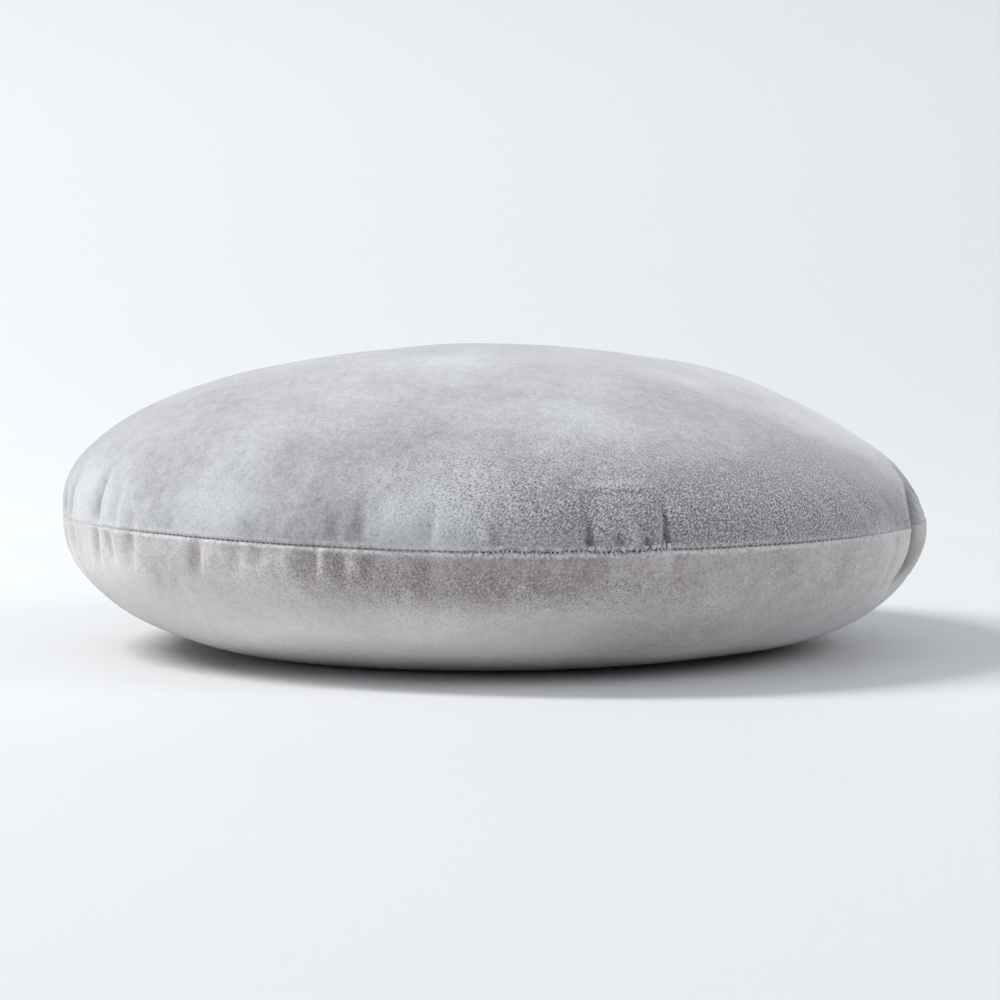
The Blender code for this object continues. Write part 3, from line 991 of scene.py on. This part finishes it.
def stitchTree():
    # thread loops across a seam, one every pitch along a path, each an arc that bulges outwards
    numbers = ("Pitch", "Reach", "Bulge", "Sunk", "Thread", "Tilt", "Uneven", "Shift", "Kept")
    kinds = dict.fromkeys(numbers, "Float")
    build = NodeTree("stitchesAlongPath", {**kinds, "Seed": "Int", "Material": "Material"})
    given = build.inputs
    seed = given["Seed"]
    tangent = build.node("GeometryNodeInputTangent")
    path = build.node("GeometryNodeMeshToCurve", None, {"Mesh": given["Geometry"]})
    spaced = {"Curve": path, "Length": given["Pitch"]}
    path = build.node("GeometryNodeResampleCurve", {"mode": "LENGTH"}, spaced)
    # each stands off its even place a little
    shift = build.eitherWay(given["Shift"], seed)
    shifted = build.node("ShaderNodeVectorMath", {"operation": "SCALE"}, {0: tangent, "Scale": shift})
    path = build.node("GeometryNodeSetPosition", None, {"Geometry": path, "Offset": shifted})
    # the loop
    sunk = build.negative(given["Sunk"])
    ends = {
        "Start": build.vector(Y=build.negative(given["Reach"]), Z=sunk),
        "Middle": build.vector(Z=given["Bulge"]),
        "End": build.vector(Y=given["Reach"], Z=sunk),
    }
    arc = build.node("GeometryNodeCurveQuadraticBezier", None, {"Resolution": 6, **ends})
    ring = {"Resolution": 6, "Radius": given["Thread"]}
    section = build.node("GeometryNodeCurvePrimitiveCircle", {"mode": "RADIUS"}, ring)
    swept = {"Curve": arc, "Profile Curve": section, "Fill Caps": True}
    loop = build.node("GeometryNodeCurveToMesh", None, swept)
    # it faces out of the cloth and tilts a little
    vectors = {"data_type": "FLOAT_VECTOR"}
    facingOut = build.node("GeometryNodeInputNamedAttribute", vectors, {"Name": "outward"})
    axes = {"primary_axis": "Z", "secondary_axis": "X"}
    turn = build.node("FunctionNodeAxesToRotation", axes, {0: facingOut, 1: tangent})
    tilted = {"Rotation": turn, "Rotate By": build.vector(Z=build.eitherWay(given["Tilt"], seed))}
    turn = build.node("FunctionNodeRotateRotation", {"rotation_space": "LOCAL"}, tilted)
    # uneven sizes, and a share left out
    less = build.maths("SUBTRACT", 1.0, given["Uneven"])
    more = build.maths("ADD", 1.0, given["Uneven"])
    smallest = build.vector(X=less, Y=less, Z=less)
    largest = build.vector(X=more, Y=more, Z=more)
    size = build.node("FunctionNodeRandomValue", vectors, {0: smallest, 1: largest, "Seed": seed})
    chance = {"Probability": given["Kept"], "Seed": seed}
    kept = build.node("FunctionNodeRandomValue", {"data_type": "BOOLEAN"}, chance, out=3)
    placed = {"Points": path, "Selection": kept, "Instance": loop, "Rotation": turn, "Scale": size}
    stitches = build.node("GeometryNodeInstanceOnPoints", None, placed)
    stitches = build.node("GeometryNodeRealizeInstances", None, {"Geometry": stitches})
    finished = {"Geometry": stitches, "Material": given["Material"]}
    return build.finish(build.node("GeometryNodeSetMaterial", None, finished))


def seamPath(name, first, last, lift, offset):
    # mesh line of the seam between two directions, lifted out and set off above or below it
    middle = cushion["rings"]
    span = (last - first) % 360
    order = np.argsort((directions - first) % 360)
    order = order[(directions[order] - first) % 360 <= span]
    above = cushionPoints[middle - 3, order]
    below = cushionPoints[middle + 3, order]
    angle = np.radians(directions[order])
    outward = np.stack([np.cos(angle), np.sin(angle), 0 * angle], 1)
    places = (above + below) / 2 + outward * lift
    places[:, 2] += offset
    mesh = bpy.data.meshes.new(name)
    mesh.from_pydata(places, [(n, n + 1) for n in range(len(places) - 1)], [])
    attribute = mesh.attributes.new("outward", "FLOAT_VECTOR", "POINT")
    attribute.data.foreach_set("vector", outward.astype(np.float32).ravel())
    return mesh


def sewAlong(name, tree, path, values):
    # runs the tree on a path and keeps its result as a plain mesh
    sewn = addObject(name, path)
    modifier = sewn.modifiers.new("stitches", "NODES")
    modifier.node_group = tree
    for socket in tree.interface.items_tree:
        if socket.in_out == "INPUT" and socket.name in values:
            modifier[socket.identifier] = values[socket.name]
    graph = bpy.context.evaluated_depsgraph_get()
    mesh = bpy.data.meshes.new_from_object(sewn.evaluated_get(graph), depsgraph=graph)
    sewn.modifiers.remove(modifier)
    sewn.data = mesh
    mesh.name = name
    mesh.shade_smooth()
    return sewn


thread = {
    "machinePitch": 0.0026,
    "machineReach": 0.0005,
    "machineThickness": 0.00016,
    "handPitch": 0.00195,
    "handReach": 0.0004,
    "handThickness": 0.00036,
    "nubReach": 0.0005,
    "nubThickness": 0.00070,
    "tackPitch": 0.0013,
    "tackReach": 0.0018,
    "dark": (0.30, 0.29, 0.31),
    "light": (0.56, 0.55, 0.57),
    "nubDark": (0.40, 0.385, 0.40),
    "nubLight": (0.70, 0.69, 0.72),
    "nubBump": 0.0005,
}


def threadMaterial():
    paint = Paint("greyThread")
    place = paint.node("ShaderNodeTexCoord", out="Object")
    twist = paint.noise(place, 1800, 1, 0.5)
    colour = paint.mix(twist, thread["dark"], thread["light"])
    return paint.finish(paint.surface(colour, 0.8, 0.2, {"Sheen Weight": 0.3}))


def nubMaterial():
    # pile that stands up where a stitch gathers it
    paint = Paint("gatheredPile")
    place = paint.node("ShaderNodeTexCoord", out="Object")
    speckle = (paint.noise(place, 1300, 2, 0.7) - 0.5) * 2.2 + 0.5
    colour = paint.mix(speckle, thread["nubDark"], thread["nubLight"])
    bump = paint.bump(speckle, thread["nubBump"])
    sheen = {"Sheen Weight": 1.0, "Sheen Roughness": 0.45, "Normal": bump}
    return paint.finish(paint.surface(colour, 0.95, 0.1, sheen))


def makeStitches():
    tree = stitchTree()
    start, end = closing["from"], closing["to"]
    machine = {
        "Pitch": thread["machinePitch"],
        "Reach": thread["machineReach"],
        "Bulge": 0.0001,
        "Sunk": 0.0005,
        "Thread": thread["machineThickness"],
        "Tilt": 0.25,
        "Uneven": 0.15,
        "Shift": 0.0001,
        "Kept": 1.0,
        "Seed": 3,
        "Material": threadMaterial(),
    }
    hand = dict(
        machine,
        Pitch=thread["handPitch"],
        Reach=thread["handReach"],
        Bulge=0.0004,
        Sunk=0.0006,
        Thread=thread["handThickness"],
        Tilt=0.7,
        Uneven=0.35,
        Shift=0.0005,
        Kept=0.7,
        Seed=5,
        Material=nubMaterial(),
    )
    nub = dict(
        hand,
        Reach=thread["nubReach"],
        Bulge=0.0006,
        Sunk=0.0005,
        Thread=thread["nubThickness"],
        Uneven=0.50,
        Shift=0.0007,
        Kept=0.75,
        Seed=8,
    )
    tack = dict(
        hand,
        Pitch=thread["tackPitch"],
        Reach=thread["tackReach"],
        Bulge=0.0008,
        Sunk=0.0010,
        Tilt=0.35,
        Kept=1.0,
        Seed=4,
    )
    upperNub = dict(nub, Seed=12)
    # each run's path: its name, its ends, and how far it is lifted out and set above the seam
    runs = [
        ("machineStitches", "machinePath", end, start, -0.0006, 0, machine),
        ("handStitches", "handPath", start, end, 0.0002, 0, hand),
        ("gatheredNubs", "nubPath", start - 5, end, 0.0004, -0.0013, nub),
        ("upperNubs", "upperPath", start + 13, end, 0.0002, 0.0012, upperNub),
        ("leftTack", "leftPath", start - 0.1, start + 0.5, 0, 0.0006, tack),
        ("rightTack", "rightPath", end - 0.9, end, 0, 0.0010, tack),
    ]
    return [sewAlong(name, tree, seamPath(*path), values) for name, *path, values in runs]


for piece in makeStitches():
    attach(piece, "root")
print("stitches made")


# table, backdrop, lights and camera

stage = {
    "tableNearEdge": -3.0,
    "tableFarEdge": 0.63,
    "nearColour": (0.668, 0.685, 0.699),
    "tableColour": (0.706, 0.722, 0.736),
    "nearFade": (-0.42, -0.10),  # along Y, from the near colour to the table's: painted shade, darker towards the camera
    "backdropColour": (0.758, 0.774, 0.790),
    "backdropFade": (0.02, 0.40),  # up along Z, from the table's colour to the backdrop's: painted light, lighter higher up
    "halfWidth": 4.5,
    "wallAt": 4.0,
    "bend": 3.3,
    "bendSteps": 24,
    "wallHeight": 4.0,
    "backdropNearEdge": -3.2,
    "step": 0.0002,  # from the table down to the backdrop's foot
}


def stageMaterial(name, axis, fade, colours, roughness):
    # paint that turns from its first colour to its second between two places along an axis
    paint = Paint(name)
    place = paint.node("ShaderNodeTexCoord", out="Object")
    share = paint.ramp(paint.node("ShaderNodeSeparateXYZ", None, {"Vector": place}, out=axis), *fade)
    return paint.finish(paint.surface(paint.mix(share, *colours), roughness, 0.2))


def makeStage():
    table = bpy.data.meshes.new("table")
    half = stage["halfWidth"]
    near, far = stage["tableNearEdge"], stage["tableFarEdge"]
    corners = [(-half, near, 0), (half, near, 0), (half, far, 0), (-half, far, 0)]
    table.from_pydata(corners, [], [(0, 1, 2, 3)])
    nearToFar = (stage["nearColour"], stage["tableColour"])
    table.materials.append(stageMaterial("tablePaint", "Y", stage["nearFade"], nearToFar, 0.6))
    bendFrom = stage["wallAt"] - stage["bend"]
    outline = [(stage["backdropNearEdge"], -stage["step"]), (bendFrom, -stage["step"])]
    for step in range(1, stage["bendSteps"] + 1):
        angle = math.radians(90 * step / stage["bendSteps"])
        across = bendFrom + stage["bend"] * math.sin(angle)
        outline.append((across, stage["bend"] * (1 - math.cos(angle)) - stage["step"]))
    outline.append((stage["wallAt"], stage["wallHeight"]))
    places = [(x, y, z) for y, z in outline for x in (-half, half)]
    faces = [(2 * n, 2 * n + 1, 2 * n + 3, 2 * n + 2) for n in range(len(outline) - 1)]
    sweep = bpy.data.meshes.new("backdrop")
    sweep.from_pydata(places, [], faces)
    upwards = (stage["tableColour"], stage["backdropColour"])
    sweep.materials.append(stageMaterial("backdropPaint", "Z", stage["backdropFade"], upwards, 0.9))
    sweep.shade_smooth()
    for mesh in (table, sweep):
        addObject(mesh.name, mesh)


makeStage()

lights = {
    "keyPower": 102,
    "keySize": (0.60, 1.60),
    "keyFrom": (-2.27, 0.16, 2.50),
    "keyColour": (1.0, 0.985, 0.97),
    "fillPower": 34,
    "fillSize": (1.8, 1.8),
    "fillFrom": (3.1, -0.7, 1.9),
    "lowPower": 10,
    "lowSize": (1.2, 0.6),
    "lowFrom": (-2.4, -2.0, 0.70),
    "ambient": 0.575,
    "ambientColour": (0.93, 0.965, 1.0, 1.0),
}


def makeLight(name, power, size, place, colour):
    data = bpy.data.lights.new(name, "AREA")
    data.shape = "RECTANGLE"
    data.size, data.size_y = size
    data.energy = power
    data.color = colour
    made = addObject(name, data)
    made.location = place
    towards = -made.location
    made.rotation_euler = towards.to_track_quat("-Z", "Y").to_euler()


makeLight("keyLight", lights["keyPower"], lights["keySize"], lights["keyFrom"], lights["keyColour"])
makeLight("fillLight", lights["fillPower"], lights["fillSize"], lights["fillFrom"], (1, 1, 1))
makeLight("lowLight", lights["lowPower"], lights["lowSize"], lights["lowFrom"], (1, 1, 1))
world = bpy.data.worlds.new("studio")
world.use_nodes = True
world.node_tree.nodes["Background"].inputs["Color"].default_value = lights["ambientColour"]
world.node_tree.nodes["Background"].inputs["Strength"].default_value = lights["ambient"]
bpy.context.scene.world = world
bpy.context.scene.view_settings.view_transform = "Standard"

camera = {
    "place": (0.00175, -1.600, 0.1785),
    "downwards": 4.014,
    "lens": 124.45,
    "sensor": 36,
    "clip": (0.05, 30),
}


def makeCamera():
    data = bpy.data.cameras.new("camera")
    data.sensor_width = camera["sensor"]
    data.lens = camera["lens"]
    data.clip_start, data.clip_end = camera["clip"]
    made = addObject("camera", data)
    made.location = camera["place"]
    made.rotation_euler = (math.radians(90 - camera["downwards"]), 0, 0)
    bpy.context.scene.camera = made


makeCamera()
print("stage, lights and camera made")
